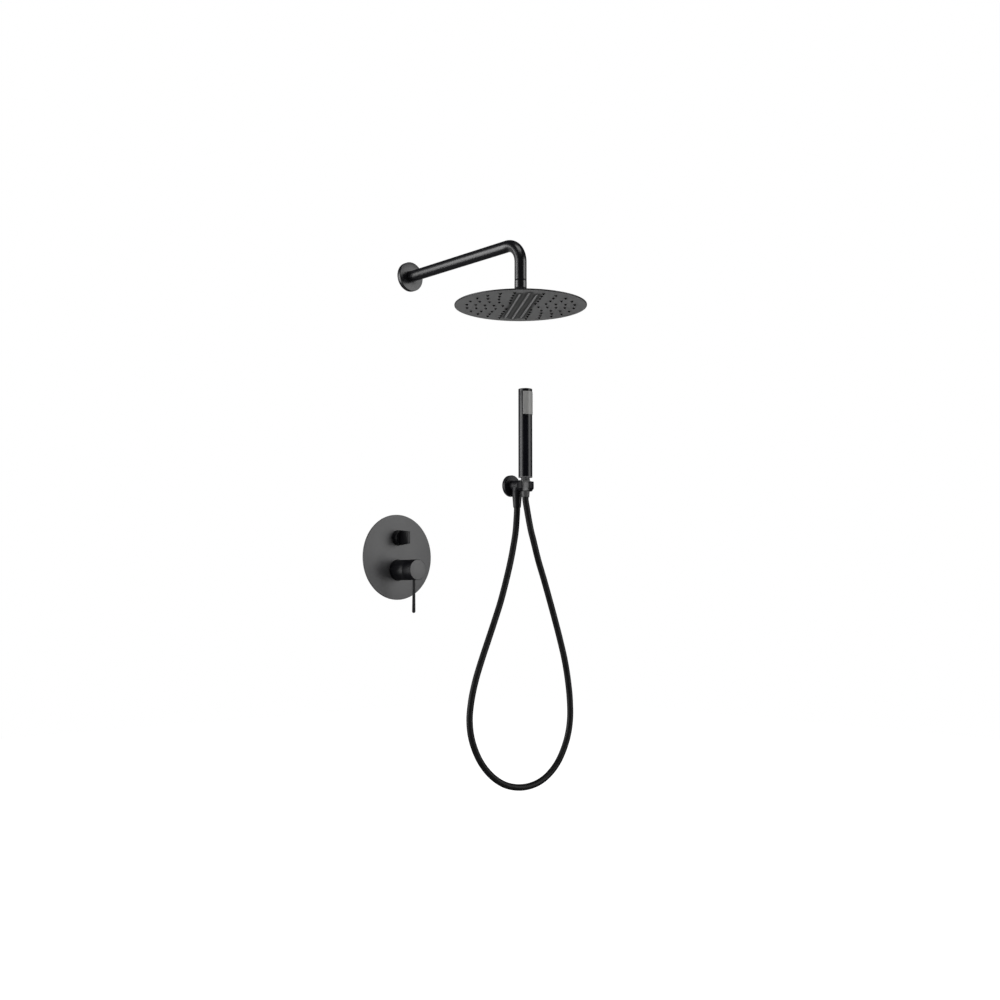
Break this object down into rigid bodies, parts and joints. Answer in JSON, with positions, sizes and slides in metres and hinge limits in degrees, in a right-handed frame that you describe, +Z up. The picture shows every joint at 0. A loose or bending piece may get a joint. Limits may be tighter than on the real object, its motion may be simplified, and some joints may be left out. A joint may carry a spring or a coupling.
{
  "type": "concealed rain shower set",
  "caption": "Wall shower set: arm with swivelling round rain head, round mixer plate with lever and diverter knob, wall outlet with cradle, hose and stick handset.",
  "frame": {"origin": "on the finished wall, at the centre of the mixer plate", "axes": "+X to the right seen from the room, +Y into the wall, +Z up"},
  "size_m": [0.5526, 0.515, 1.1199],
  "materials": {
    "black_metal": "satin black coating",
    "plate_metal": "satin black coating on a flat plate",
    "face_metal": "satin dark coating on sheet",
    "nut_metal": "grey satin plating",
    "stick_black": "glossy black coating",
    "brass": "machined",
    "steel": "plain stainless sheet and wire",
    "rubber": "matt",
    "nozzle_rubber": "matt silicone",
    "white_plastic": "moulded",
    "hose_black": "smooth black hose",
    "spray_grey": "light grey moulding"
  },
  "bodies": {
    "root": {"arm_flange": "black_metal", "arm_grommet": "rubber", "arm_tube": "black_metal", "arm_inlet": "brass", "arm_outlet": "brass", "collar_nut": "nut_metal", "collar_washer": "rubber", "inlet_strainer": "steel", "cover_plate": "plate_metal", "plate_gasket": "rubber", "plate_carrier": "steel", "carrier_screws": "steel", "lever_ring": "rubber", "lever_sleeve": "black_metal", "mixer_cartridge": "white_plastic", "cartridge_nut": "brass", "diverter_ring": "rubber", "diverter_sleeve": "black_metal", "diverter_cartridge": "white_plastic", "diverter_nut": "brass", "valve_body": "brass", "outlet_flange": "black_metal", "outlet_grommet": "rubber", "outlet_body": "black_metal", "hand_cradle": "black_metal", "check_valve": "white_plastic", "check_spring": "steel", "hose": "hose_black", "wall_nut": "black_metal", "wall_washer": "rubber", "wall_ferrule": "brass"},
    "head_swivel": {"ball_ring": "white_plastic"},
    "rain_head": {"ball_stem": "brass", "head_hub": "black_metal", "head_shell": "black_metal", "nozzle_mat": "nozzle_rubber", "head_face": "face_metal"},
    "lever_fork": {"stem_fork": "white_plastic", "fork_pin": "steel"},
    "lever": {"lever_stem": "brass", "lever_handle": "black_metal", "lever_pin": "black_metal"},
    "diverter": {"diverter_spindle": "brass", "diverter_knob": "black_metal", "diverter_screw": "steel"},
    "hose_end": {"hand_ferrule": "brass"},
    "handset": {"hand_nut": "nut_metal", "hand_washer": "rubber", "stick_connector": "nut_metal", "stick_tube": "stick_black", "water_tube": "white_plastic", "spray_chamber": "white_plastic", "spray_face": "spray_grey", "stick_cap": "stick_black"},
    "poppet": {"check_poppet": "white_plastic"}
  },
  "joints": [
    {"name": "head_turn", "type": "hinge", "parent": "root", "child": "head_swivel", "pos_m": [0.027, -0.342, 0.4995], "axis": [0, 0, 1], "continuous": true},
    {"name": "head_tilt", "type": "hinge", "parent": "head_swivel", "child": "rain_head", "pos_m": [0.027, -0.342, 0.4995], "axis": [1, 0, 0], "range_deg": [-12, 12]},
    {"name": "lever_turn", "type": "hinge", "parent": "root", "child": "lever_fork", "pos_m": [0, -0.03, -0.0265], "axis": [0, 1, 0], "range_deg": [-45, 45]},
    {"name": "lever_lift", "type": "hinge", "parent": "lever_fork", "child": "lever", "pos_m": [0, -0.03, -0.0265], "axis": [-1, 0, 0], "range_deg": [0, 25]},
    {"name": "diverter_turn", "type": "hinge", "parent": "root", "child": "diverter", "pos_m": [0, -0.01, 0.0395], "axis": [0, 1, 0], "range_deg": [0, 90]},
    {"name": "handset_lift", "type": "slide", "parent": "root", "child": "hose_end", "axis": [0, 0, 1], "range_m": [0, 0.045]},
    {"name": "handset_turn", "type": "hinge", "parent": "hose_end", "child": "handset", "pos_m": [0.317, -0.05, 0.1655], "axis": [0, 0, 1], "continuous": true},
    {"name": "check_lift", "type": "slide", "parent": "root", "child": "poppet", "axis": [0, 0, -1], "range_m": [0, 0.0025], "stiffness_N_per_m": 200, "springref_m": -0.002, "deforming": ["check_spring"]}
  ]
}
